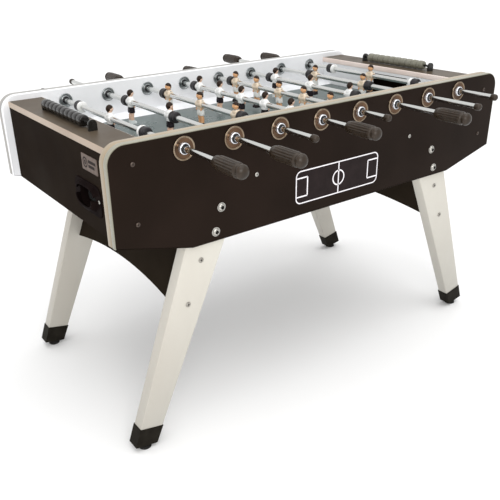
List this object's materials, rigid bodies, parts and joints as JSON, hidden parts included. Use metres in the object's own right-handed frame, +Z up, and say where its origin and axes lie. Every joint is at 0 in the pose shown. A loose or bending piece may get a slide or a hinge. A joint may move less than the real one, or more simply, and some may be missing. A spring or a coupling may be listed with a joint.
{
  "type": "foosball table",
  "caption": "Full-size foosball table: black cabinet on four raked pale legs, sliding and turning chrome rods with figures and ribbed handles, score counters and ball return cups.",
  "frame": {"origin": "middle of the overall box at floor level; the cabinet's own middle lies 39 mm towards -Y, because the far rods reach further out", "axes": "+Z up, X from the left goal to the right goal, Y along the rods, -Y is the side with the decal seen first"},
  "size_m": [1.46, 1.394, 0.915],
  "materials": {
    "black_laminate": "black melamine laminate on particle board, low sheen",
    "white_laminate": "smooth white melamine laminate",
    "edge_band": "pale silvery plastic edge band",
    "shelf_laminate": "taupe laminate",
    "pitch_laminate": "grey-green smooth laminate",
    "black_painted_board": "black painted board",
    "black_trough": "black moulded plastic",
    "cup_plastic": "black moulded plastic",
    "leg_paint": "cream lacquered board",
    "shoe_plastic": "black moulded plastic",
    "foot_rubber": "black rubber",
    "zinc_steel": "zinc plated steel",
    "flange_chrome": "bright chrome",
    "bush_plastic": "black nylon",
    "post_plastic": "black plastic",
    "bead_plastic": "dark grey ribbed plastic",
    "plate": "grey printed foil",
    "rod_chrome": "polished chrome",
    "team_a_figure": "white shirts, black shorts, painted plastic",
    "team_b_figure": "tan shirts, white shorts, painted plastic",
    "handle_plastic": "dark grey ribbed plastic",
    "bumper_rubber": "black rubber"
  },
  "bodies": {
    "table": {"front_side_board": "black_laminate", "back_side_board": "black_laminate", "front_inner_board": "white_laminate", "back_inner_board": "white_laminate", "edge_bands": "edge_band", "left_end_panel": "black_laminate", "right_end_panel": "black_laminate", "end_shelves": "shelf_laminate", "playfield": "pitch_laminate", "side_ramps": "white_laminate", "goal_walls": "white_laminate", "goal_boxes": "black_trough", "bottom_boards": "black_painted_board", "ball_cups": "cup_plastic", "front_left_leg": "leg_paint", "front_right_leg": "leg_paint", "back_left_leg": "leg_paint", "back_right_leg": "leg_paint", "leg_shoes": "shoe_plastic", "levelling_feet": "foot_rubber", "arch_panels": "black_painted_board", "fasteners": "zinc_steel", "bearing_flanges": "flange_chrome", "bearing_bushes": "bush_plastic", "score_posts": "post_plastic", "end_plate": "plate"},
    "left_score_beads": {"left_score_beads": "bead_plastic"},
    "right_score_beads": {"right_score_beads": "bead_plastic"},
    "rod_1_slide": {"rod_1_bumpers": "bumper_rubber"},
    "rod_1": {"rod_1_tube": "rod_chrome", "rod_1_men": "team_a_figure", "rod_1_handle": "handle_plastic"},
    "rod_2_slide": {"rod_2_bumpers": "bumper_rubber"},
    "rod_2": {"rod_2_tube": "rod_chrome", "rod_2_men": "team_a_figure", "rod_2_handle": "handle_plastic"},
    "rod_3_slide": {"rod_3_bumpers": "bumper_rubber"},
    "rod_3": {"rod_3_tube": "rod_chrome", "rod_3_men": "team_b_figure", "rod_3_handle": "handle_plastic"},
    "rod_4_slide": {"rod_4_bumpers": "bumper_rubber"},
    "rod_4": {"rod_4_tube": "rod_chrome", "rod_4_men": "team_a_figure", "rod_4_handle": "handle_plastic"},
    "rod_5_slide": {"rod_5_bumpers": "bumper_rubber"},
    "rod_5": {"rod_5_tube": "rod_chrome", "rod_5_men": "team_b_figure", "rod_5_handle": "handle_plastic"},
    "rod_6_slide": {"rod_6_bumpers": "bumper_rubber"},
    "rod_6": {"rod_6_tube": "rod_chrome", "rod_6_men": "team_a_figure", "rod_6_handle": "handle_plastic"},
    "rod_7_slide": {"rod_7_bumpers": "bumper_rubber"},
    "rod_7": {"rod_7_tube": "rod_chrome", "rod_7_men": "team_b_figure", "rod_7_handle": "handle_plastic"},
    "rod_8_slide": {"rod_8_bumpers": "bumper_rubber"},
    "rod_8": {"rod_8_tube": "rod_chrome", "rod_8_men": "team_b_figure", "rod_8_handle": "handle_plastic"}
  },
  "joints": [
    {"name": "left_score_slide", "type": "slide", "parent": "table", "child": "left_score_beads", "axis": [0, -1, 0], "range_m": [0, 0.041]},
    {"name": "right_score_slide", "type": "slide", "parent": "table", "child": "right_score_beads", "axis": [0, 1, 0], "range_m": [-0.024, 0.017]},
    {"name": "rod_1_push", "type": "slide", "parent": "table", "child": "rod_1_slide", "axis": [0, 1, 0], "range_m": [-0.1352, 0.0972]},
    {"name": "rod_1_spin", "type": "hinge", "parent": "rod_1_slide", "child": "rod_1", "pos_m": [-0.525, -0.039, 0.862], "axis": [0, 1, 0], "continuous": true},
    {"name": "rod_2_push", "type": "slide", "parent": "table", "child": "rod_2_slide", "axis": [0, 1, 0], "range_m": [-0.2372, 0.1192]},
    {"name": "rod_2_spin", "type": "hinge", "parent": "rod_2_slide", "child": "rod_2", "pos_m": [-0.375, -0.039, 0.862], "axis": [0, 1, 0], "continuous": true},
    {"name": "rod_3_push", "type": "slide", "parent": "table", "child": "rod_3_slide", "axis": [0, 1, 0], "range_m": [-0.1142, 0.1042]},
    {"name": "rod_3_spin", "type": "hinge", "parent": "rod_3_slide", "child": "rod_3", "pos_m": [-0.225, -0.039, 0.862], "axis": [0, 1, 0], "continuous": true},
    {"name": "rod_4_push", "type": "slide", "parent": "table", "child": "rod_4_slide", "axis": [0, 1, 0], "range_m": [-0.0492, 0.0592]},
    {"name": "rod_4_spin", "type": "hinge", "parent": "rod_4_slide", "child": "rod_4", "pos_m": [-0.075, -0.039, 0.862], "axis": [0, 1, 0], "continuous": true},
    {"name": "rod_5_push", "type": "slide", "parent": "table", "child": "rod_5_slide", "axis": [0, 1, 0], "range_m": [-0.0402, 0.0682]},
    {"name": "rod_5_spin", "type": "hinge", "parent": "rod_5_slide", "child": "rod_5", "pos_m": [0.075, -0.039, 0.862], "axis": [0, 1, 0], "continuous": true},
    {"name": "rod_6_push", "type": "slide", "parent": "table", "child": "rod_6_slide", "axis": [0, 1, 0], "range_m": [-0.1112, 0.1072]},
    {"name": "rod_6_spin", "type": "hinge", "parent": "rod_6_slide", "child": "rod_6", "pos_m": [0.225, -0.039, 0.862], "axis": [0, 1, 0], "continuous": true},
    {"name": "rod_7_push", "type": "slide", "parent": "table", "child": "rod_7_slide", "axis": [0, 1, 0], "range_m": [-0.1972, 0.1592]},
    {"name": "rod_7_spin", "type": "hinge", "parent": "rod_7_slide", "child": "rod_7", "pos_m": [0.375, -0.039, 0.862], "axis": [0, 1, 0], "continuous": true},
    {"name": "rod_8_push", "type": "slide", "parent": "table", "child": "rod_8_slide", "axis": [0, 1, 0], "range_m": [-0.1202, 0.1122]},
    {"name": "rod_8_spin", "type": "hinge", "parent": "rod_8_slide", "child": "rod_8", "pos_m": [0.525, -0.039, 0.862], "axis": [0, 1, 0], "continuous": true}
  ]
}
